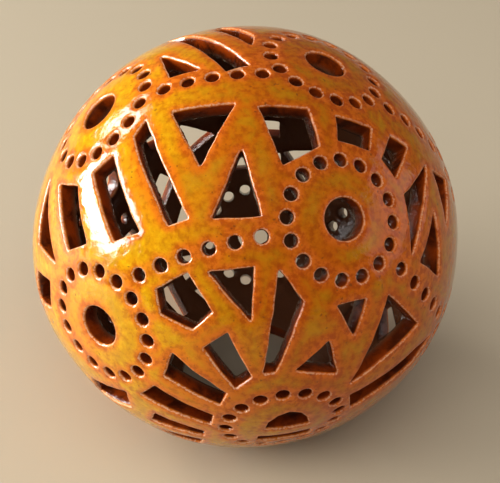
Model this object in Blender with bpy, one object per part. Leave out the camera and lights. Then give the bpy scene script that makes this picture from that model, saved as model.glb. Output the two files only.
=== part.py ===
"""A hollow, pierced, glazed ceramic ball that glows when a small lamp stands inside it.

Metres, +Z up. The origin is the bottom centre of the ball, in the plane of its flat foot, and the
round mouth in the foot lets the lamp in. A place on the ball is a longitude and a latitude in
degrees: longitude 0 faces -Y, longitude 90 faces +X, and latitude 90 is the top.
"""
import math

import bmesh
import bpy
from mathutils import Vector
from mathutils.geometry import delaunay_2d_cdt
from mathutils.kdtree import KDTree

# The ball and its wall
BALL_DIAMETER = 0.140
WALL = 0.006
MOUTH_DIAMETER = 0.046
FOOT_RIM = 0.004

# The round holes: an eye in the middle of each ring, and the dots round it and in the rows
EYE_DIAMETER = 0.0138
DOT_DIAMETER = 0.0047
RING_DIAMETER = 0.0368
ROW_PITCH = 0.0084
DOTS_IN_RING = 16

# Clay left between a ring's dots and the nearest window
BRIDGE = 0.0020

# Sides of the faceted outlines, and the longest straight stretch of a window's side, in degrees
DOT_SIDES = 6
EYE_SIDES = 12
MOUTH_SIDES = 32
SIDE_STEP = 13.0
FILL_STEP = 11.0

# Ring centres: longitude, latitude and the turn of the first dot
RINGS = {
    "left": (-90, 48, 18),
    "top": (109, 68, 15),
    "right": (33, 40, 0),
    "low_left": (-41, 7, 10),
    "low_front": (10, -19, 4),
    "low_right": (73, -21, 0),
    "far_right": (104, 12, 5),
    "back_top": (180, 35, 0),
    "back_left": (-128, -8, 7),
    "left_low": (-84, -31, 3),
    "back_right": (128, -32, 0),
    "back_low": (177, -39, 9),
}
SPLIT_EYE_RING = "low_front"

# Rows of dots from ring to ring: each ring, the place its end of the row heads for, and how far
# the row bows northwards, in degrees
ROWS = (
    ("left", (-72, 66), "top", (29, 80), 0),
    ("low_left", (-34, 28), "right", (6, 40), 2),
    ("right", (46, 21), "low_right", (62, -2), -1),
    ("top", (84, 50), "far_right", (91, 28), 0),
    ("back_top", (-161, 22), "back_left", (-144, 7), 0),
)

# Windows cut by hand: the corners of each, going round it
WINDOWS = (
    ((-84, 26), (-74, 11), (-61, 14)),
    ((-75, 30), (-66, 35), (-51, 26), (-57, 21)),
    ((-63, 41), (-61, 48), (-35, 36), (-42, 31)),
    ((-59, 55), (-62, 60), (-20, 43), (-26, 40)),
    ((-53, 66), (-11, 75), (-21, 56)),
    ((-3, 62), (5, 45), (-12, 44)),
    ((10, 74), (47, 69), (37, 59), (16, 57)),
    ((59, 63), (70, 54), (59, 51), (48, 58)),
    ((75, 48), (78, 42), (61, 41), (61, 47)),
    ((80, 34), (63, 29), (51, 22), (60, 36)),
    ((69, 26), (61, 10), (54, 19)),
    ((81, 31), (87, 23), (72, 18)),
    ((-25, 24), (-17, 30), (-9, 21), (-14, 16), (-23, 18)),
    ((-11, 31), (2, 33), (1, 19)),
    ((9, 32), (15, 23), (7, 4), (4, 4)),
    ((24, 20), (33, 19), (28, 10)),
    ((21, 11), (23, 0), (12, 4)),
    ((40, 17), (50, 2), (37, -2), (27, -6)),
    ((28, -11), (50, -7), (58, -8), (51, -13), (42, -15), (30, -19)),
    ((-11, 11), (-5, 16), (1, 3), (-3, -1)),
    ((-19, 8), (-5, -3), (-7, -8), (-21, 0)),
    ((-29, -11), (-24, -5), (-9, -13), (-10, -18)),
    ((-26, -19), (-12, -23), (-13, -27), (-29, -25)),
    ((-27, -31), (-14, -31), (-17, -41), (-26, -39)),
    ((-48, -18), (-34, -13), (-35, -22), (-51, -28)),
    ((-73, 3), (-63, 7), (-62, -1), (-74, -8)),
    ((-117, 64), (-86, 78), (-86, 70)),
    ((-142, 51), (-147, 57), (34, 89), (-60, 84)),
    ((-167, 57), (174, 74), (173, 81), (-160, 63)),
)

# Plainer windows on the side away from view: bars between two rings, a triangle between three
BAR_WIDTH = 6.0
BAR_GAP = 6.0
BAR_LENGTH = 18.0
BAR_PAIRS = (
    ("back_top", "back_low"),
    ("back_left", "back_low"),
    ("left", "back_left"),
    ("back_top", "far_right"),
    ("back_left", "left_low"),
)
TRIANGLE_REACH = 8.0
TRIANGLE_FIELDS = (
    ("left", "back_top", "back_left"),
    ("left", "back_left", "left_low"),
    ("back_top", "back_left", "back_low"),
    ("back_top", "back_right", "far_right"),
    ("back_top", "back_right", "back_low"),
    ("far_right", "back_right", "low_right"),
)

# Wedges that fan out from the rings on the far side, wherever there is room for one
FRONT = (0, 40)
FAR_SIDE = 0.1
FAN_RINGS = (
    "back_top",
    "back_left",
    "back_right",
    "back_low",
    "far_right",
    "left_low",
    "low_right",
    "left",
    "top",
)
WEDGE_PLACES = 40
WEDGE_NEAR_WIDTH = 0.0055
WEDGE_FAR_WIDTH = 0.0100
WEDGE_LENGTHS = (0.0170, 0.0095)
WEDGE_ROOM = 0.0031
LOWEST_WEDGE = -62.0
SAMPLE_STEP = 1.5

# Upright slots round the foot
FOOT_SLOTS = 16
FOOT_SLOT_TOP = -49.0
FOOT_SLOT_FOOT = -60.0
FOOT_SLOT_WIDTH = 6.0

# The eye in two parts: an arch above a slot, in degrees
ARCH_FOOT = (11, -20)
ARCH_HALF_WIDTH = 5.8
ARCH_HEIGHT = 8.5
SLOT_TOP = 5.0
SLOT_FOOT = 9.0
SLOT_WIDTH = 14.0

SHARP_EDGE = 35.0

# The glaze
GLAZE_COLOUR = (0.62, 0.24, 0.02, 1)
GLAZE_ROUGHNESS = 0.15

# A hair's breadth, for lengths that meet
HAIR = 0.0002

# How the plane map is divided: triangles within the outlines, and points this close are one
SKIN_ONLY = 1
MAP_GRAIN = 1e-7

RADIUS = BALL_DIAMETER / 2
INNER_RADIUS = RADIUS - WALL
MOUTH_RADIUS = MOUTH_DIAMETER / 2
FOOT_RADIUS = MOUTH_RADIUS + FOOT_RIM
CENTRE_HEIGHT = math.sqrt(RADIUS**2 - FOOT_RADIUS**2)
FOOT_ANGLE = math.asin(FOOT_RADIUS / RADIUS)
MOUTH_ANGLE = math.asin(MOUTH_RADIUS / RADIUS)


def place(longitude, latitude):
    """The direction from the ball's centre to a place on it."""
    lon, lat = math.radians(longitude), math.radians(latitude)
    return Vector((math.sin(lon) * math.cos(lat), -math.cos(lon) * math.cos(lat), math.sin(lat)))


def arc(length):
    """The angle at the ball's centre of a length measured over its surface."""
    return length / RADIUS


def travel(start, heading, angle):
    """The place reached from start by going through an angle in the heading's direction."""
    side = (heading - start * heading.dot(start)).normalized()
    return start * math.cos(angle) + side * math.sin(angle)


def compass(centre):
    """East and north at a place."""
    east = Vector((0, 0, 1)).cross(centre).normalized()
    return east, centre.cross(east)


def round_outline(centre, angle, sides, turn=0.0):
    """A round outline of the same area as the circle of that angular radius."""
    angle *= math.sqrt(math.tau / (sides * math.sin(math.tau / sides)))
    east, north = compass(centre)
    points = []
    for step in range(sides):
        bearing = turn + math.tau * step / sides
        points.append(travel(centre, east * math.cos(bearing) + north * math.sin(bearing), angle))
    return points


def ring_places(name):
    """The places of the dots in a ring."""
    longitude, latitude, turn = RINGS[name]
    centre = place(longitude, latitude)
    east, north = compass(centre)
    places = []
    for step in range(DOTS_IN_RING):
        bearing = math.radians(turn) + math.tau * step / DOTS_IN_RING
        heading = east * math.cos(bearing) + north * math.sin(bearing)
        places.append(travel(centre, heading, arc(RING_DIAMETER / 2)))
    return places


def ring_centre(name):
    longitude, latitude, _ = RINGS[name]
    return place(longitude, latitude)


def row_places(first, first_aim, last, last_aim, bow):
    """The places of the dots in the row between two rings."""
    start = travel(ring_centre(first), place(*first_aim), arc(RING_DIAMETER / 2))
    end = travel(ring_centre(last), place(*last_aim), arc(RING_DIAMETER / 2))
    gaps = max(2, round(start.angle(end) / arc(ROW_PITCH)))
    side = start.cross(end).normalized()
    places = []
    for step in range(1, gaps):
        lift = math.radians(bow) * math.sin(math.pi * step / gaps)
        places.append(travel(start.slerp(end, step / gaps), side, lift))
    return places


def clear_of_rings(point):
    """The point, moved out of any ring it would crowd."""
    reach = arc(RING_DIAMETER / 2 + DOT_DIAMETER / 2 + BRIDGE)
    for name in RINGS:
        centre = ring_centre(name)
        if centre.angle(point) < reach:
            point = travel(centre, point, reach)
    return point


def window_outline(corners):
    """A window's outline: great-circle sides, in stretches, that go round the rings."""
    points = []
    for start, end in zip(corners, corners[1:] + corners[:1]):
        stretches = math.ceil(math.degrees(start.angle(end)) / SIDE_STEP)
        for step in range(stretches):
            points.append(clear_of_rings(start.slerp(end, step / stretches)))
    return points


def hand_cut_windows():
    return [[place(*corner) for corner in corners] for corners in WINDOWS]


def bar_windows():
    """Straight bars across the field between two rings, side by side."""
    windows = []
    reach = math.degrees(arc(RING_DIAMETER / 2 + DOT_DIAMETER / 2 + BRIDGE))
    for first, last in BAR_PAIRS:
        start, end = ring_centre(first), ring_centre(last)
        field = math.degrees(start.angle(end)) - 2 * reach
        bars = max(1, int((field + BAR_GAP) / (BAR_WIDTH + BAR_GAP)))
        across = start.cross(end).normalized()
        taken = bars * BAR_WIDTH + (bars - 1) * BAR_GAP
        for bar in range(bars):
            near = math.radians(reach + (field - taken) / 2 + bar * (BAR_WIDTH + BAR_GAP))
            far = near + math.radians(BAR_WIDTH)
            sides = [travel(start, end, angle) for angle in (near, far)]
            half = math.radians(BAR_LENGTH / 2)
            windows.append(
                [
                    travel(sides[0], across, half),
                    travel(sides[1], across, half),
                    travel(sides[1], -across, half),
                    travel(sides[0], -across, half),
                ]
            )
    return windows


def triangle_windows():
    """A triangle between three rings, with a side towards each."""
    windows = []
    for names in TRIANGLE_FIELDS:
        centres = [ring_centre(name) for name in names]
        middle = sum(centres, Vector()).normalized()
        windows.append(
            [travel(middle, 2 * middle - centre, math.radians(TRIANGLE_REACH)) for centre in centres]
        )
    return windows


def samples(outline):
    """Points along an outline, close together."""
    points = []
    for start, end in zip(outline, outline[1:] + outline[:1]):
        stretches = math.ceil(math.degrees(start.angle(end)) / SAMPLE_STEP)
        points += [start.slerp(end, step / stretches) for step in range(stretches)]
    return points


def has_room(outline, taken):
    """Whether an outline on the far side keeps clear of every hole that is already there."""
    front = place(*FRONT)
    tree = KDTree(len(taken))
    for index, point in enumerate(taken):
        tree.insert(point, index)
    tree.balance()
    middle = sum(outline, Vector()).normalized()
    for point in samples(outline) + [point.slerp(middle, 0.5) for point in outline] + [middle]:
        if point.dot(front) > FAR_SIDE or point.z < math.sin(math.radians(LOWEST_WEDGE)):
            return False
        if tree.find(point)[2] < arc(WEDGE_ROOM):
            return False
    return True


def wedge(ring, bearing, length):
    """A wedge that points at a ring's centre, just outside its dots."""
    centre = ring_centre(ring)
    east, north = compass(centre)
    heading = east * math.cos(bearing) + north * math.sin(bearing)
    across = centre.cross(heading)
    near = arc(RING_DIAMETER / 2 + DOT_DIAMETER / 2 + WEDGE_ROOM + HAIR)
    corners = []
    for reach, width in ((near, WEDGE_NEAR_WIDTH), (near + arc(length), WEDGE_FAR_WIDTH)):
        level = travel(centre, heading, reach)
        corners.append([travel(level, across, arc(side * width / 2)) for side in (-1, 1)])
    return corners[0] + corners[1][::-1]


def fan_windows(others):
    """Wedges round the far rings, longer ones first, wherever the other holes leave room."""
    taken = [point for outline in others for point in samples(outline)]
    windows = []
    for length in WEDGE_LENGTHS:
        for ring in FAN_RINGS:
            for step in range(WEDGE_PLACES):
                window = wedge(ring, math.tau * step / WEDGE_PLACES, length)
                if has_room(window, taken):
                    windows.append(window)
                    taken += samples(window)
    return windows


def foot_windows():
    """Upright slots round the foot, where no ring reaches down to them."""
    windows = []
    reach = arc(RING_DIAMETER / 2 + DOT_DIAMETER / 2 + BRIDGE)
    for slot in range(FOOT_SLOTS):
        lon = 360 * slot / FOOT_SLOTS
        wide = FOOT_SLOT_WIDTH / math.cos(math.radians(FOOT_SLOT_TOP)) / 2
        narrow = FOOT_SLOT_WIDTH / 2
        corners = [
            place(lon - wide, FOOT_SLOT_TOP),
            place(lon + wide, FOOT_SLOT_TOP),
            place(lon + narrow, FOOT_SLOT_FOOT),
            place(lon - narrow, FOOT_SLOT_FOOT),
        ]
        if all(ring_centre(name).angle(corner) > reach for name in RINGS for corner in corners):
            windows.append(corners)
    return windows


def hole_outlines():
    """The outline of every hole in the ball but its mouth."""
    outlines = []
    for name, (_, _, turn) in RINGS.items():
        for spot in ring_places(name):
            outlines.append(round_outline(spot, arc(DOT_DIAMETER / 2), DOT_SIDES, math.radians(turn)))
        if name != SPLIT_EYE_RING:
            outlines.append(round_outline(ring_centre(name), arc(EYE_DIAMETER / 2), EYE_SIDES))
    for row in ROWS:
        for spot in row_places(*row):
            outlines.append(round_outline(spot, arc(DOT_DIAMETER / 2), DOT_SIDES))
    outlines += split_eye()
    for corners in hand_cut_windows() + bar_windows() + triangle_windows() + foot_windows():
        outlines.append(window_outline(corners))
    return outlines + fan_windows(outlines)


def split_eye():
    """The eye of one ring, cut as an arch with a slot under it."""
    foot = place(*ARCH_FOOT)
    east, north = compass(foot)
    half = EYE_SIDES // 2
    arch = []
    for step in range(half + 1):
        bearing = math.pi * step / half
        across = east * math.cos(bearing) * math.radians(ARCH_HALF_WIDTH)
        up = north * math.sin(bearing) * math.radians(ARCH_HEIGHT)
        arch.append((foot + across + up).normalized())
    slot = []
    for across, down in ((-1, SLOT_TOP), (-1, SLOT_FOOT), (1, SLOT_FOOT), (1, SLOT_TOP)):
        level = travel(foot, -north, math.radians(down))
        slot.append(travel(level, east * across, math.radians(SLOT_WIDTH / 2)))
    return [arch, slot]


def flat_map(point):
    """A place on the ball in the plane map whose middle is the top of the ball."""
    return Vector((point.x, point.y)) / (1 + point.z)


def from_map(spot):
    """The place on the ball of a spot in the plane map."""
    squared = spot.length_squared
    return Vector((2 * spot.x, 2 * spot.y, 1 - squared)) / (1 + squared)


def anticlockwise(loop, spots):
    """A loop of corners, turned so that it runs anticlockwise in the plane map."""
    turning = sum(spots[a].cross(spots[b]) for a, b in zip(loop, loop[1:] + loop[:1]))
    return loop if turning > 0 else loop[::-1]


def fill_places(taken):
    """Places spread evenly over the ball, away from the outlines, that keep it round between them."""
    count = round(4 * math.pi / math.radians(FILL_STEP) ** 2)
    golden = math.pi * (3 - math.sqrt(5))
    lowest = -math.cos(FOOT_ANGLE + math.radians(FILL_STEP) / 2)
    places = []
    for step in range(count):
        height = 1 - 2 * (step + 0.5) / count
        spread = math.sqrt(1 - height**2)
        spot = Vector((spread * math.cos(golden * step), spread * math.sin(golden * step), height))
        near = min(spot.angle(other) for other in taken)
        if near > math.radians(FILL_STEP) / 2 and height > lowest:
            places.append(spot)
    return places


def bottom_circle(angle):
    """A level circle round the bottom of the ball, at an angle from straight down."""
    return [
        place(360 * step / MOUTH_SIDES, math.degrees(angle) - 90) for step in range(MOUTH_SIDES)
    ]


def pierced_skin():
    """The places and triangles of the ball's skin, with every hole left open."""
    mouth = bottom_circle(MOUTH_ANGLE)
    foot = bottom_circle(FOOT_ANGLE)
    holes = hole_outlines()
    places, loops = [], []
    for outline in [mouth, foot] + holes:
        loops.append(list(range(len(places), len(places) + len(outline))))
        places += outline
    places += fill_places(places)
    spots = [flat_map(point) for point in places]
    rim = loops.pop(1)
    rim_edges = list(zip(rim, rim[1:] + rim[:1]))
    faces = [anticlockwise(loop, spots) for loop in loops]
    spots, _, triangles, _, _, inside = delaunay_2d_cdt(
        spots, rim_edges, faces, SKIN_ONLY, MAP_GRAIN, True
    )
    skin = [corners for corners, owners in zip(triangles, inside) if list(owners) == [0]]
    return [from_map(spot) for spot in spots], skin


def outside(point):
    """A place on the outer surface, which is flat at the foot."""
    spot = point * RADIUS + Vector((0, 0, CENTRE_HEIGHT))
    spot.z = max(spot.z, 0.0)
    return spot


def inside_of(point):
    """The place on the inner surface behind a place on the outer one. The mouth's wall is upright."""
    spot = point * INNER_RADIUS
    level = math.hypot(point.x, point.y) * RADIUS
    if point.z < 0 and level < FOOT_RADIUS + HAIR:
        inset = level if level < MOUTH_RADIUS + HAIR else MOUTH_RADIUS + FOOT_RIM / 2
        spot = Vector((point.x, point.y, 0)).normalized() * inset
        spot.z = -math.sqrt(INNER_RADIUS**2 - inset**2)
    return spot + Vector((0, 0, CENTRE_HEIGHT))


def ball_mesh():
    """The skin, thickened inwards into one closed wall."""
    places, triangles = pierced_skin()
    shape = bmesh.new()
    front = [shape.verts.new(point) for point in places]
    for corners in triangles:
        shape.faces.new([front[corner] for corner in corners])
    loose = [vert for vert in shape.verts if not vert.link_faces]
    bmesh.ops.delete(shape, geom=loose, context="VERTS")
    front = list(shape.verts)
    grown = bmesh.ops.extrude_face_region(shape, geom=shape.faces[:], use_keep_orig=True)["geom"]
    back = [item for item in grown if isinstance(item, bmesh.types.BMVert)]
    for vert in front:
        vert.co = outside(vert.co)
    for vert in back:
        vert.co = inside_of(vert.co)
    bmesh.ops.triangulate(shape, faces=shape.faces[:])
    bmesh.ops.recalc_face_normals(shape, faces=shape.faces[:])
    mesh = bpy.data.meshes.new("pierced_ball")
    shape.to_mesh(mesh)
    shape.free()
    mesh.shade_smooth()
    mesh.set_sharp_from_angle(angle=math.radians(SHARP_EDGE))
    return mesh


def glaze():
    """The ball's finish: a glossy orange glaze."""
    material = bpy.data.materials.new("orange_glaze")
    material.use_nodes = True
    material.diffuse_color = GLAZE_COLOUR
    shader = material.node_tree.nodes["Principled BSDF"]
    shader.inputs["Base Color"].default_value = GLAZE_COLOUR
    shader.inputs["Roughness"].default_value = GLAZE_ROUGHNESS
    shader.inputs["Metallic"].default_value = 0.0
    return material


def clear_scene():
    for item in list(bpy.data.objects):
        bpy.data.objects.remove(item, do_unlink=True)


def main():
    clear_scene()
    collection = bpy.data.collections.new("light_up_ball")
    bpy.context.scene.collection.children.link(collection)
    mesh = ball_mesh()
    mesh.materials.append(glaze())
    collection.objects.link(bpy.data.objects.new("pierced_ball", mesh))


main()
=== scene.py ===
"""The finish of a hollow, pierced ball of orange-glazed ceramic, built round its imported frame.

Metres, +Z up. The outlines of all the holes are read from the frame's solid. Round holes are made
truly round, windows get the small unevenness of a knife, and every cut edge is rounded.
"""
import math

import bmesh
import bpy
import numpy as np
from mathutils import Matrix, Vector, noise
from mathutils.geometry import delaunay_2d_cdt
from mathutils.kdtree import KDTree


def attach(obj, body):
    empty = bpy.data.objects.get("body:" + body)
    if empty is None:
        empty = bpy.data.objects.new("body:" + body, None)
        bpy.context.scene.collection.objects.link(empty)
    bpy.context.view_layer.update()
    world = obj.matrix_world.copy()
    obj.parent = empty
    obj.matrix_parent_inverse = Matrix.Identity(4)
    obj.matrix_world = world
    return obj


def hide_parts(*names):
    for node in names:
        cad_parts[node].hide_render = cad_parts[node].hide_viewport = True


NODE = "pierced_ball"

# The ball, as the frame's solid has it
BALL_DIAMETER = 0.140
WALL = 0.006

# Outline points: more for the eyes than for the dots, and a step along a window's side
DOT_POINTS = 20
EYE_POINTS = 44
SIDE_STEP = 0.0012
CORNER_RADIUS = 0.0005
CORNER_STEP = 0.5
LARGEST_DOT = 0.0035

# A round outline's points keep their distance from its middle to within this share
ROUND_TO = 0.04

# Points of the solid closer than this are one point
SAME_PLACE = 1e-5

# Every cut edge: how far its rounding reaches over the skin and down the wall
RIM_REACH = 0.0009
RIM_DROP = 0.0007
RIM_TURNS = (30, 60, 90)
INNER_REACH = 0.0004

# The share of the gap to the next hole that a rounding may take
GAP_SHARE = 0.38

# Glaze that narrows a round hole all round
GLAZE_BEAD = 0.00022

# Points that carry the skin between the holes: their spacing, and how far they stay from a cut edge
OUTER_SPACING = 0.0021
OUTER_CLEAR = 0.0011
INNER_SPACING = 0.0042
INNER_CLEAR = 0.0018
MOUTH_POINTS = 96

# Unevenness by hand: heights, and how fast each changes over the ball
KNIFE_WANDER = 0.0003
KNIFE_SCALE = 14.0
WALL_WANDER = 0.0003
WALL_SCALE = 30.0
DOT_VARIATION = 0.03
LUMP_HEIGHT = 0.00045
LUMP_SCALE = 2.3

# Broad hollows and swellings: longitude, latitude, width in degrees, height
LUMPS = (
    (75, 45, 26, -0.0013),
    (-75, -8, 24, 0.0014),
    (30, -40, 24, -0.0008),
)

# The lumps fade out over this share of the radius above the foot
FOOT_BLEND = 0.25

# Camera, as distances in radii and pixels of the 500 x 483 photograph
IMAGE_WIDTH = 500
IMAGE_HEIGHT = 483
BALL_MIDDLE_PX = (247.3, 237.5)
BALL_RADIUS_PX = 211.5
CAMERA_RADII = 8.0
CAMERA_ELEVATION = 40.0

# Colours of the glaze, as linear light
GOLD = (0.6, 0.27, 0.002)
GOLD_DARK = (0.48, 0.18, 0.002)
GOLD_LIGHT = (0.68, 0.36, 0.004)
ORANGE = (0.66, 0.19, 0.004)
ORANGE_DARK = (0.52, 0.125, 0.003)
# Burnt red, darker towards the right: partly the glaze's own colour, partly painted shade
BURNT_AND_SHADE = (0.46, 0.085, 0.001)
BURNT_AND_SHADE_DARK = (0.34, 0.05, 0.001)
OLIVE = (0.42, 0.235, 0.003)
HALO = (0.66, 0.14, 0.012)
HALO_DARK = (0.4, 0.06, 0.004)
SPECK = (0.12, 0.04, 0.006)
PALE = (0.8, 0.47, 0.27)
# The cut walls' dark brown-red is painted shade in the recesses of the cuts, in lighter and darker patches
SHADED_WALL_LIGHT = (0.2, 0.027, 0.002)
SHADED_WALL_DARK = (0.055, 0.009, 0.002)
INSIDE = (0.13, 0.045, 0.018)

# The glaze's gloss: strength of its mirror image, and roughness where smoothest and roughest
GLOSS = 0.32
INDEX = 1.52
ROUGHNESS = (0.05, 0.14)
BUMP_STRENGTH = 0.5
BUMP_HEIGHT = 0.0005

# The way over the ball in which the glaze turns from gold to burnt red: partly the glaze's own colour,
# partly painted shade on the side turned away from the window light
BURNT_AND_SHADE_WAY = (0.92, -0.1, 0.3)

# The floor and the room
FLOOR_SIZE = 6.0
FLOOR_COLOUR = (0.47, 0.4, 0.29)
FLOOR_ROUGHNESS = 0.6
ROOM_LIGHT = 0.12
ROOM_COLOUR = (1.0, 0.95, 0.88)

# Soft lights: name, azimuth (0 is -Y, 90 is +X), elevation, distance, width, height, watts, colour,
# and the rays that see them
LIGHTS = (
    ("window", -92, 14, 1.1, 0.86, 0.36, 20, (1.0, 0.97, 0.93), "both"),
    ("window_gleam", -93, 13, 1.08, 0.86, 0.34, 19, (0.95, 0.98, 1.0), "gloss"),
    ("far_window", -128, 24, 1.6, 0.25, 0.5, 8, (1.0, 0.97, 0.93), "both"),
    ("sky", -15, 60, 1.4, 1.2, 1.2, 13.5, (1.0, 0.98, 0.95), "matt"),
    ("room", 75, 40, 1.4, 1.2, 1.0, 4, (1.0, 0.95, 0.9), "matt"),
    ("far_wall", 93, 12, 1.4, 1.3, 0.56, 2.6, (1.0, 0.88, 0.86), "gloss"),
)

RADIUS = BALL_DIAMETER / 2
INNER_RADIUS = RADIUS - WALL


def measure_frame(node):
    """The foot's and mouth's radius and the height of the ball's centre, read from the solid."""
    spots = np.array([vert.co[:] for vert in node.data.vertices])
    level = np.hypot(spots[:, 0], spots[:, 1])[spots[:, 2] < SAME_PLACE]
    foot, mouth = level.max(), level.min()
    return foot, mouth, math.sqrt(RADIUS**2 - foot**2)


def read_outlines(node, centre):
    """The outline of every hole on the outer surface, as closed loops of directions."""
    shape = bmesh.new()
    shape.from_mesh(node.data)
    bmesh.ops.remove_doubles(shape, verts=shape.verts[:], dist=SAME_PLACE)
    middle_wall = (RADIUS + INNER_RADIUS) / 2
    outer = {vert for vert in shape.verts if (vert.co - centre).length > middle_wall}
    after = {}
    for edge in shape.edges:
        if not all(vert in outer for vert in edge.verts):
            continue
        skins = [all(vert in outer for vert in face.verts) for face in edge.link_faces]
        if sorted(skins) == [False, True]:
            first, last = edge.verts
            after.setdefault(first, []).append(last)
            after.setdefault(last, []).append(first)
    loops = []
    while after:
        start = next(iter(after))
        loop, vert = [], start
        while vert in after:
            loop.append((vert.co - centre).normalized())
            onward = after.pop(vert)
            vert = next((other for other in onward if other in after), start)
        loops.append(np.array(loop))
    shape.free()
    return loops


def unit(rows):
    """Each row, made one long."""
    return rows / np.linalg.norm(rows, axis=-1, keepdims=True)


def circle(middle, angle, points, turn, stretch=0.0):
    """A round loop of directions about a middle, stretched a little along one way."""
    east = unit(np.cross([0.0, 0.0, 1.0], middle))
    north = np.cross(middle, east)
    bearings = turn + np.arange(points) * math.tau / points
    reach = angle * (1 + stretch * np.cos(2 * bearings))
    sides = np.outer(np.cos(bearings), east) + np.outer(np.sin(bearings), north)
    return unit(middle * np.cos(reach)[:, None] + sides * np.sin(reach)[:, None])


def wander(rows, height, scale, seed):
    """A smooth random shift for each direction, as a length."""
    shift = Vector((seed, -seed, seed / 2))
    return np.array([noise.noise(Vector(row) * scale + shift) for row in rows]) * height


def cut_window(corners, seed):
    """A window's corners, rounded, with sides in short steps that wander as a knife does."""
    count = len(corners)
    points = []
    for index in range(count):
        before, here, after = (corners[(index + step) % count] for step in (-1, 0, 1))
        back, ahead = unit(before - here), unit(after - here)
        bend = math.acos(np.clip(-back @ ahead, -1, 1))
        room = min(np.linalg.norm(before - here), np.linalg.norm(after - here)) / 2.2
        inset = min(CORNER_RADIUS / RADIUS * math.tan(bend / 2), room)
        steps = 1 + round(bend / CORNER_STEP)
        for step in range(steps + 1):
            share = step / steps
            start, end = here + back * inset, here + ahead * inset
            curve = (1 - share) ** 2 * start + 2 * share * (1 - share) * here + share**2 * end
            points.append(curve)
    loop = []
    for index, point in enumerate(points):
        onward = points[(index + 1) % len(points)]
        stretches = max(1, round(np.linalg.norm(onward - point) * RADIUS / SIDE_STEP))
        for step in range(stretches):
            share = step / stretches
            loop.append(point * (1 - share) + onward * share)
    loop = unit(np.array(loop))
    return offset(loop, wander(loop, KNIFE_WANDER, KNIFE_SCALE, seed) / RADIUS)


def outward(loop):
    """The direction away from the hole at each point of its loop, along the surface."""
    along = unit(np.roll(loop, -1, 0) - np.roll(loop, 1, 0))
    away = unit(np.cross(along, loop))
    spread = loop - loop.mean(0)
    return away if (away * spread).sum() > 0 else -away


def offset(loop, angles):
    """The loop moved over the surface, away from its hole."""
    return unit(loop + outward(loop) * np.reshape(angles, (-1, 1)))


def smooth_outlines(loops):
    """Each hole's fine outline: dots and eyes made round, windows cut by hand."""
    fine = []
    for seed, loop in enumerate(loops):
        middle = unit(loop.mean(0))
        spread = np.arccos(np.clip(loop @ middle, -1, 1))
        even = np.ptp(spread) < ROUND_TO * spread.mean()
        sides = len(loop)
        flat_share = math.sqrt(sides * math.sin(math.tau / sides) / math.tau)
        angle = spread.mean() * flat_share
        vary = 1 + DOT_VARIATION * noise.noise(Vector(middle) * 9)
        oval = DOT_VARIATION * noise.noise(Vector(middle) * 7 + Vector((5, 5, 5)))
        if even and angle * RADIUS < LARGEST_DOT:
            fine.append(circle(middle, angle * vary - GLAZE_BEAD / RADIUS, DOT_POINTS, seed, oval))
        elif even and sides > 8:
            fine.append(circle(middle, angle - GLAZE_BEAD / RADIUS, EYE_POINTS, seed, oval / 2))
        else:
            fine.append(cut_window(loop, seed))
    return fine


def nearest_gaps(outlines):
    """For each outline, how far each of its points is from the nearest other hole, as an angle."""
    tree = KDTree(sum(len(loop) for loop in outlines))
    owner = []
    for index, loop in enumerate(outlines):
        for point in loop:
            tree.insert(point, len(owner))
            owner.append(index)
    tree.balance()
    far_enough = 3 * RIM_REACH / RADIUS
    gaps = []
    for index, loop in enumerate(outlines):
        row = []
        for point in loop:
            found = tree.find_range(point, far_enough)
            row.append(min((far for _, spot, far in found if owner[spot] != index), default=far_enough))
        gaps.append(np.array(row))
    return gaps


def reach_out(loop, gap, most):
    """How far the rounding of a cut edge reaches at each point: less by a near hole or in a tight bend."""
    room = np.minimum(gap, np.minimum(np.roll(gap, 1), np.roll(gap, -1)))
    reach = np.minimum(most / RADIUS, room * GAP_SHARE)
    along = np.roll(loop, -1, 0) - loop
    for _ in range(4):
        moved = offset(loop, reach)
        ahead = np.roll(moved, -1, 0) - moved
        turned = (along * ahead).sum(1) < 0.2 * (along * along).sum(1)
        reach = np.where(turned | np.roll(turned, 1), reach / 2, reach)
    return reach


def flat_map(rows):
    """Directions laid out on a plane, seen from the lowest one, which the mouth leaves out."""
    return rows[:, :2] / (1 + rows[:, 2:3])


def anticlockwise(indices, spots):
    """The indices of a loop on the plane, in anticlockwise order."""
    loop = spots[indices]
    after = np.roll(loop, -1, 0)
    turning = (loop[:, 0] * after[:, 1] - loop[:, 1] * after[:, 0]).sum()
    return list(indices) if turning > 0 else list(indices)[::-1]


def spread_points(spacing):
    """Points spread evenly over the whole ball."""
    count = round(4 * math.pi / (0.866 * (spacing / RADIUS) ** 2))
    heights = 1 - 2 * (np.arange(count) + 0.5) / count
    spread = np.sqrt(1 - heights**2)
    turn = math.pi * (3 - math.sqrt(5)) * np.arange(count)
    return np.stack([spread * np.cos(turn), spread * np.sin(turn), heights], 1)


def distances(rows, outlines):
    """How far each direction is from the nearest outline, as an angle."""
    tree = KDTree(sum(len(loop) for loop in outlines))
    for index, point in enumerate(point for loop in outlines for point in loop):
        tree.insert(point, index)
    tree.balance()
    return np.array([tree.find(row)[2] for row in rows])


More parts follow.
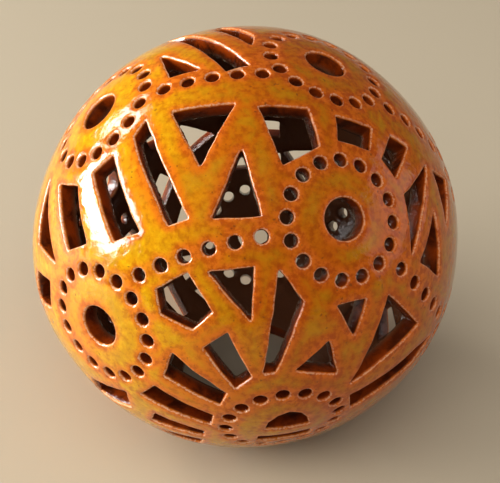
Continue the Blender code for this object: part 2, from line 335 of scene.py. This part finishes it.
def skin(loops, mouth, spacing, clear):
    """Triangles that fill the skin between loops: all the directions, and the triangles' corners.

    The loops' own points come first and in order."""
    fill = spread_points(spacing)
    fill = fill[fill[:, 2] > mouth[:, 2].max() + 0.01]
    fill = fill[distances(fill, [mouth] + loops) > clear / RADIUS]
    rows = np.concatenate([mouth] + loops + [fill])
    spots = flat_map(rows)
    faces, first = [], 0
    for loop in [mouth] + loops:
        faces.append(anticlockwise(np.arange(first, first + len(loop)), spots))
        first += len(loop)
    places, _, triangles, _, _, owners = delaunay_2d_cdt(
        [Vector(spot) for spot in spots], [], faces, 1, 1e-9, True
    )
    kept = [corners for corners, owner in zip(triangles, owners) if list(owner) == [0]]
    squared = np.array([place.length_squared for place in places])[:, None]
    flat = np.array([place[:] for place in places])
    rows = np.concatenate([2 * flat, 1 - squared], 1) / (1 + squared)
    return rows, kept


def lump(rows):
    """How far the hand-built ball stands out from a true sphere, in each direction."""
    rise = wander(rows, LUMP_HEIGHT, LUMP_SCALE, 3.0)
    for longitude, latitude, width, height in LUMPS:
        lon, lat = math.radians(longitude), math.radians(latitude)
        middle = np.array([math.sin(lon) * math.cos(lat), -math.cos(lon) * math.cos(lat), math.sin(lat)])
        away = np.degrees(np.arccos(np.clip(rows @ middle, -1, 1)))
        rise += height * np.exp(-((away / width) ** 2))
    above = (rows[:, 2] + math.cos(FOOT_ANGLE)) / FOOT_BLEND
    return rise * np.clip(above, 0, 1) ** 2


def place(rows, depth):
    """The points in space of directions at a depth under the outer surface."""
    radii = RADIUS - depth + lump(rows)
    return rows * np.reshape(radii, (-1, 1)) + np.array([0, 0, CENTRE_HEIGHT])


def seat(points):
    """The points, with the ball's foot ground flat."""
    points = points.copy()
    points[:, 2] = np.maximum(points[:, 2], 0)
    return points


class Builder:
    """Collects points, their finish values and faces for one mesh."""

    def __init__(self):
        self.points, self.edge, self.depth, self.faces = [], [], [], []
        self.count = 0

    def add(self, points, edge, depth):
        """Adds points; edge is the distance from a cut edge and depth the one under the skin."""
        first = self.count
        self.points.append(points)
        self.edge.append(np.broadcast_to(edge, len(points)))
        self.depth.append(np.broadcast_to(depth, len(points)))
        self.count += len(points)
        return np.arange(first, self.count)

    def bridge(self, upper, lower, flip):
        """Joins two loops of as many points by a band of quads."""
        for a, b, c, d in zip(upper, np.roll(upper, -1), np.roll(lower, -1), lower):
            face = (a, b, c, d)
            self.faces.append(face[::-1] if flip else face)

    def mesh(self, name):
        mesh = bpy.data.meshes.new(name)
        points = np.concatenate(self.points)
        mesh.from_pydata(points.tolist(), [], [tuple(int(i) for i in face) for face in self.faces])
        for title, rows in (("edge_mm", self.edge), ("depth_mm", self.depth)):
            layer = mesh.attributes.new(title, "FLOAT", "POINT")
            layer.data.foreach_set("value", (np.concatenate(rows) * 1000).astype(np.float32))
        mesh.update()
        return mesh


def mouth_loop(level):
    """The level circle of the mouth, as directions, at a radius on the outer or inner surface."""
    turns = np.arange(MOUTH_POINTS) * math.tau / MOUTH_POINTS
    height = -np.sqrt(1 - level**2)
    return np.stack([np.sin(turns) * level, -np.cos(turns) * level, np.full(MOUTH_POINTS, height)], 1)


def build_ball(outlines):
    """The ball's whole surface: skin, rounded cut edges, cut walls and the inside."""
    ball = Builder()
    gaps = nearest_gaps(outlines)
    reaches = [reach_out(loop, gap, RIM_REACH) for loop, gap in zip(outlines, gaps)]
    inner_reaches = [reach_out(loop, gap, INNER_REACH) for loop, gap in zip(outlines, gaps)]

    crests = [offset(loop, reach) for loop, reach in zip(outlines, reaches)]
    mouth_crest = mouth_loop((MOUTH_RADIUS + RIM_REACH) / RADIUS)
    rows, kept = skin(crests, mouth_crest, OUTER_SPACING, OUTER_CLEAR)
    from_edge = distances(rows, outlines) * RADIUS
    outer = ball.add(seat(place(rows, 0)), from_edge, 0.0)
    ball.faces += [tuple(outer[list(corners)]) for corners in kept]

    hems = [offset(loop, reach) for loop, reach in zip(outlines, inner_reaches)]
    mouth_hem = mouth_loop((MOUTH_RADIUS + INNER_REACH) / INNER_RADIUS)
    inner_rows, inner_kept = skin(hems, mouth_hem, INNER_SPACING, INNER_CLEAR)
    inner = ball.add(place(inner_rows, WALL), 9.0, WALL)
    ball.faces += [tuple(inner[list(corners)])[::-1] for corners in inner_kept]

    first = MOUTH_POINTS
    for seed, (loop, reach, hem) in enumerate(zip(outlines, reaches, hems)):
        span = np.arange(first, first + len(loop))
        first += len(loop)
        bands = [outer[span]]
        for turn in RIM_TURNS:
            lean = 1 - math.sin(math.radians(turn))
            drop = RIM_DROP * (1 - math.cos(math.radians(turn)))
            bands.append(ball.add(place(offset(loop, reach * lean), drop), reach * lean * RADIUS, drop))
        for share in (0.45, 0.85):
            depth = RIM_DROP + (WALL - RIM_DROP) * share
            cut = wander(loop * (1 + share), WALL_WANDER, WALL_SCALE, seed + 50)
            bands.append(ball.add(place(offset(loop, cut / RADIUS), depth), 0.0, depth))
        bands.append(inner[span])
        middle = loop.mean(0)
        facing = np.cross(loop[0] - middle, loop[1] - middle) @ middle
        for upper, lower in zip(bands, bands[1:]):
            ball.bridge(upper, lower, facing > 0)

    foot = np.arange(MOUTH_POINTS)
    bands = [outer[foot]]
    rim = seat(place(mouth_crest, 0))
    sides = unit(rim[:, :2])
    inner_level = CENTRE_HEIGHT - math.sqrt(INNER_RADIUS**2 - (MOUTH_RADIUS + INNER_REACH) ** 2)
    for level, height in (
        (MOUTH_RADIUS + RIM_REACH / 3, RIM_DROP / 4),
        (MOUTH_RADIUS, RIM_DROP),
        (MOUTH_RADIUS, inner_level - INNER_REACH),
    ):
        points = np.concatenate([sides * level, np.full((MOUTH_POINTS, 1), height)], 1)
        bands.append(ball.add(points, 0.0, height))
    bands.append(inner[foot])
    for upper, lower in zip(bands, bands[1:]):
        ball.bridge(upper, lower, False)
    return ball.mesh("ball")


def smooth_shade(piece):
    """Shades the piece smooth, with all its faces turned outwards."""
    piece.data.shade_smooth()
    shape = bmesh.new()
    shape.from_mesh(piece.data)
    bmesh.ops.recalc_face_normals(shape, faces=shape.faces[:])
    shape.to_mesh(piece.data)
    shape.free()


def node(tree, kind, **values):
    """A shader node, with inputs set by name or position and other settings as attributes."""
    made = tree.nodes.new(kind)
    for name, value in values.items():
        if name.startswith("in_"):
            made.inputs[int(name[3:])].default_value = value
        else:
            setattr(made, name, value)
    return made


def ramp(tree, value, stops):
    """A colour ramp over a value."""
    made = tree.nodes.new("ShaderNodeValToRGB")
    made.color_ramp.interpolation = "EASE"
    elements = made.color_ramp.elements
    while len(elements) < len(stops):
        elements.new(0.5)
    for element, (position, colour) in zip(elements, stops):
        element.position = position
        element.color = (*colour, 1)
    tree.links.new(value, made.inputs[0])
    return made.outputs[0]


def level(tree, value, low, high, out_low=0.0, out_high=1.0):
    """A value mapped from one range to another, smoothly and within bounds."""
    made = node(tree, "ShaderNodeMapRange", interpolation_type="SMOOTHSTEP")
    for index, number in enumerate((low, high, out_low, out_high), 1):
        made.inputs[index].default_value = number
    tree.links.new(value, made.inputs[0])
    return made.outputs[0]


def speckle(tree, place, scale, detail=2.0, rough=0.5, warp=0.0):
    """Noise over the object's own space, in cycles per metre."""
    made = node(tree, "ShaderNodeTexNoise")
    made.inputs["Scale"].default_value = scale
    made.inputs["Detail"].default_value = detail
    made.inputs["Roughness"].default_value = rough
    made.inputs["Distortion"].default_value = warp
    tree.links.new(place, made.inputs["Vector"])
    return made.outputs["Fac"]


def times(tree, first, second):
    """The product of two values."""
    made = node(tree, "ShaderNodeMath", operation="MULTIPLY")
    for index, value in enumerate((first, second)):
        if isinstance(value, float):
            made.inputs[index].default_value = value
        else:
            tree.links.new(value, made.inputs[index])
    return made.outputs[0]


def plus(tree, first, second):
    """The sum of two values."""
    made = node(tree, "ShaderNodeMath", operation="ADD")
    tree.links.new(first, made.inputs[0])
    tree.links.new(second, made.inputs[1])
    return made.outputs[0]


def blend(tree, share, first, second):
    """One colour over another, by a share."""
    made = node(tree, "ShaderNodeMix", data_type="RGBA")
    for socket, value in ((0, share), (6, first), (7, second)):
        if isinstance(value, tuple):
            made.inputs[socket].default_value = (*value, 1)
        elif isinstance(value, float):
            made.inputs[socket].default_value = value
        else:
            tree.links.new(value, made.inputs[socket])
    return made.outputs[2]


def along(tree, place, way, low, high):
    """A share that rises over the ball from one side to the other, along a way."""
    made = node(tree, "ShaderNodeVectorMath", operation="DOT_PRODUCT")
    made.inputs[1].default_value = way
    tree.links.new(place, made.inputs[0])
    return level(tree, made.outputs["Value"], low, high)


def glaze():
    """Glossy orange glaze: golden where thick, red near the cuts and thin and pale on their edges."""
    material = bpy.data.materials.new("orange_glaze")
    material.use_nodes = True
    tree = material.node_tree
    shader = tree.nodes["Principled BSDF"]
    place = node(tree, "ShaderNodeTexCoord").outputs["Object"]
    edge = node(tree, "ShaderNodeAttribute", attribute_name="edge_mm").outputs["Fac"]
    depth = node(tree, "ShaderNodeAttribute", attribute_name="depth_mm").outputs["Fac"]

    clouds = speckle(tree, place, 38.0, 3.0, 0.55, 0.6)
    grain = speckle(tree, place, 480.0, 3.0, 0.62)
    specks = speckle(tree, place, 650.0, 1.0, 0.5)
    streaks = speckle(tree, place, 120.0, 4.0, 0.62, 0.4)
    bites = speckle(tree, place, 1500.0, 3.0, 0.7)

    golden = ramp(tree, grain, ((0.34, GOLD_DARK), (0.5, GOLD), (0.68, GOLD_LIGHT)))
    orange = ramp(tree, grain, ((0.34, ORANGE_DARK), (0.52, ORANGE)))
    middle = plus(tree, edge, level(tree, clouds, 0.3, 0.7, -2.6, 2.6))
    skin_colour = blend(tree, level(tree, middle, 0.2, 4.2), orange, golden)
    # Redder and darker towards the right: partly the glaze's own colour, partly painted shade
    burnt_and_shade = along(tree, place, BURNT_AND_SHADE_WAY, 0.004, 0.046)
    red = ramp(tree, grain, ((0.34, BURNT_AND_SHADE_DARK), (0.6, BURNT_AND_SHADE)))
    skin_colour = blend(tree, times(tree, burnt_and_shade, 0.85), skin_colour, red)

    thick = times(tree, level(tree, edge, 1.8, 4.2), level(tree, streaks, 0.4, 0.66))
    skin_colour = blend(tree, times(tree, thick, 0.5), skin_colour, OLIVE)
    near = plus(tree, edge, level(tree, streaks, 0.3, 0.7, -0.9, 0.9))
    halo = level(tree, near, 0.7, 2.8, 1.0, 0.0)
    halo_colour = blend(tree, level(tree, grain, 0.4, 0.6), HALO_DARK, HALO)
    skin_colour = blend(tree, times(tree, halo, 0.55), skin_colour, halo_colour)
    dots = times(tree, level(tree, specks, 0.71, 0.77), 0.6)
    skin_colour = blend(tree, dots, skin_colour, SPECK)

    # Painted shade: the cut walls darkened as if shaded in their recesses
    shaded_wall = ramp(tree, streaks, ((0.35, SHADED_WALL_DARK), (0.6, SHADED_WALL_LIGHT)))
    deep = level(tree, depth, 0.45, 1.2)
    colour = blend(tree, deep, skin_colour, shaded_wall)
    colour = blend(tree, level(tree, depth, 3.6, 5.8), colour, INSIDE)

    ragged = level(tree, bites, 0.25, 0.75, -0.32, 0.32)
    on_edge = level(tree, plus(tree, edge, ragged), 0.26, 0.46, 1.0, 0.0)
    shallow = level(tree, plus(tree, depth, ragged), 0.32, 0.6, 1.0, 0.0)
    worn_and_shaded = level(tree, streaks, 0.34, 0.5, 0.45, 1.0)
    # The pale edge line is dimmed towards the right as painted shade
    worn_and_shaded = times(tree, worn_and_shaded, level(tree, burnt_and_shade, 0.0, 1.0, 1.0, 0.62))
    pale = times(tree, times(tree, on_edge, shallow), worn_and_shaded)
    colour = blend(tree, times(tree, pale, 0.85), colour, PALE)
    tree.links.new(colour, shader.inputs["Base Color"])

    tree.links.new(level(tree, streaks, 0.3, 0.75, *ROUGHNESS), shader.inputs["Roughness"])
    shader.inputs["IOR"].default_value = INDEX
    shader.inputs["Specular IOR Level"].default_value = GLOSS

    ripple = speckle(tree, place, 190.0, 4.0, 0.58)
    torn = times(tree, speckle(tree, place, 700.0, 3.0, 0.6), deep)
    height = plus(tree, plus(tree, ripple, times(tree, grain, 0.32)), torn)
    bump = node(tree, "ShaderNodeBump")
    bump.inputs["Strength"].default_value = BUMP_STRENGTH
    bump.inputs["Distance"].default_value = BUMP_HEIGHT
    tree.links.new(height, bump.inputs["Height"])
    tree.links.new(bump.outputs[0], shader.inputs["Normal"])
    return material


def pale_floor():
    """A plain, pale floor."""
    bpy.ops.mesh.primitive_plane_add(size=FLOOR_SIZE)
    floor = bpy.context.object
    floor.name = "floor"
    material = bpy.data.materials.new("floor")
    material.use_nodes = True
    shader = material.node_tree.nodes["Principled BSDF"]
    shader.inputs["Base Color"].default_value = (*FLOOR_COLOUR, 1)
    shader.inputs["Roughness"].default_value = FLOOR_ROUGHNESS
    floor.data.materials.append(material)


def soft_light(name, azimuth, elevation, distance, width, height, watts, colour, rays):
    """A soft light that faces the ball from an azimuth and an elevation."""
    data = bpy.data.lights.new(name, "AREA")
    data.shape = "RECTANGLE"
    data.size, data.size_y = width, height
    data.energy = watts
    data.color = colour
    light = bpy.data.objects.new(name, data)
    lon, lat = math.radians(azimuth), math.radians(elevation)
    way = Vector((math.sin(lon) * math.cos(lat), -math.cos(lon) * math.cos(lat), math.sin(lat)))
    light.location = Vector((0, 0, CENTRE_HEIGHT)) + way * distance
    light.rotation_euler = way.to_track_quat("Z", "Y").to_euler()
    light.visible_glossy = rays != "matt"
    light.visible_diffuse = rays != "gloss"
    bpy.context.scene.collection.objects.link(light)


def surroundings():
    """A dim, even room."""
    world = bpy.data.worlds.new("room")
    world.use_nodes = True
    background = world.node_tree.nodes["Background"]
    background.inputs["Color"].default_value = (*ROOM_COLOUR, 1)
    background.inputs["Strength"].default_value = ROOM_LIGHT
    bpy.context.scene.world = world


def photo_camera():
    """The photograph's view: from above the front, at eight radii."""
    data = bpy.data.cameras.new("camera")
    focal_px = BALL_RADIUS_PX * math.sqrt(CAMERA_RADII**2 - 1)
    data.sensor_fit = "HORIZONTAL"
    data.lens = data.sensor_width * focal_px / IMAGE_WIDTH
    data.shift_x = (IMAGE_WIDTH / 2 - BALL_MIDDLE_PX[0]) / IMAGE_WIDTH
    data.shift_y = (BALL_MIDDLE_PX[1] - IMAGE_HEIGHT / 2) / IMAGE_WIDTH
    camera = bpy.data.objects.new("camera", data)
    lat = math.radians(CAMERA_ELEVATION)
    way = Vector((0, -math.cos(lat), math.sin(lat)))
    camera.location = Vector((0, 0, CENTRE_HEIGHT)) + way * CAMERA_RADII * RADIUS
    camera.rotation_euler = (math.radians(90) - lat, 0, 0)
    bpy.context.scene.collection.objects.link(camera)
    bpy.context.scene.camera = camera


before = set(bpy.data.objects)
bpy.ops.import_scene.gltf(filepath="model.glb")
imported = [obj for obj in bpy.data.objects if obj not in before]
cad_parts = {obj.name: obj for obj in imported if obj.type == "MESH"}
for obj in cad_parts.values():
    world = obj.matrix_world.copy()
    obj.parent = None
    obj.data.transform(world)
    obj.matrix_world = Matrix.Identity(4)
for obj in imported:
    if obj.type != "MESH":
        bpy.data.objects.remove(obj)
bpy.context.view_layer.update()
cad_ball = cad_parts[NODE]
FOOT_RADIUS, MOUTH_RADIUS, CENTRE_HEIGHT = measure_frame(cad_ball)
FOOT_ANGLE = math.asin(FOOT_RADIUS / RADIUS)

outlines = read_outlines(cad_ball, Vector((0, 0, CENTRE_HEIGHT)))
outlines = [loop for loop in outlines if loop[:, 2].max() > -math.cos(FOOT_ANGLE * 0.99)]
ball = bpy.data.objects.new("pierced_ball_glazed", build_ball(smooth_outlines(outlines)))
bpy.context.scene.collection.objects.link(ball)
smooth_shade(ball)
ball.data.materials.append(glaze())
cad_ball.data.materials.clear()
cad_ball.data.materials.append(ball.data.materials[0])
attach(ball, "root")
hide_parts(NODE)

pale_floor()
surroundings()
for row in LIGHTS:
    soft_light(*row)
bpy.context.scene.view_settings.view_transform = "Standard"
photo_camera()
